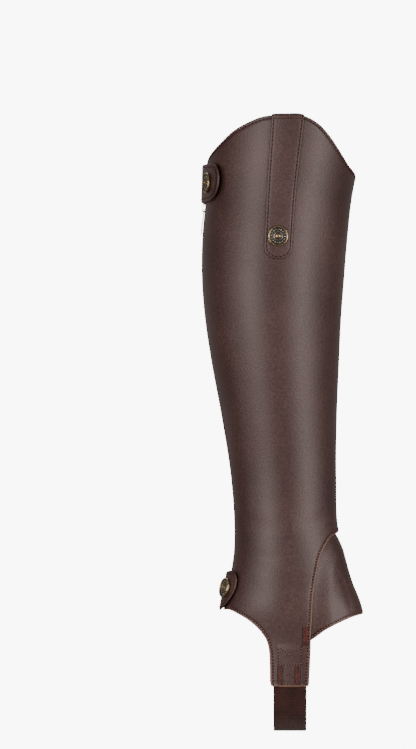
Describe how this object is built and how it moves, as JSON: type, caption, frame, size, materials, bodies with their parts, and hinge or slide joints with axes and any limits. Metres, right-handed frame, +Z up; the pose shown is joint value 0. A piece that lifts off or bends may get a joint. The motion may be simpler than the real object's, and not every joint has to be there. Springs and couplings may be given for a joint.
{
  "type": "half chap",
  "caption": "Leather riding half chap in its worn form: arched top, suede inner calf, zip up the back under snapped closing tabs, and an elastic stirrup strap.",
  "frame": {"origin": "on the leg's axis inside the calf, at the level of its widest part", "axes": "+Z up along the leg, +X towards the toe, -Y the outer side of the right leg"},
  "size_m": [0.1309, 0.1158, 0.4953],
  "materials": {
    "leather": "smooth full grain, fine pebble, soft sheen",
    "suede": "brushed suede nap, matte",
    "lining": "plain black woven lining",
    "elastic": "ribbed woven elastic",
    "zip_cloth": "woven zip tape",
    "brass": "antique, dull"
  },
  "bodies": {
    "chap": {"main_panel": "leather", "suede_panel": "suede", "vamp": "leather", "lining": "lining", "top_facing": "leather", "strap": "leather", "top_tab": "leather", "bottom_tab": "leather", "elastic": "elastic", "zip_tape_outer": "zip_cloth", "zip_tape_inner": "zip_cloth", "zip_chain": "brass", "zip_slider": "brass", "strap_snap": "brass", "top_snap": "brass", "bottom_snap": "brass", "top_stud": "brass", "bottom_stud": "brass"},
    "zip_pull": {"zip_pull": "brass"}
  },
  "joints": [
    {"name": "zip_pull_swing", "type": "hinge", "parent": "chap", "child": "zip_pull", "pos_m": [-0.05591, 0, 0.04847], "axis": [0, 1, 0], "range_deg": [0, 130]}
  ]
}
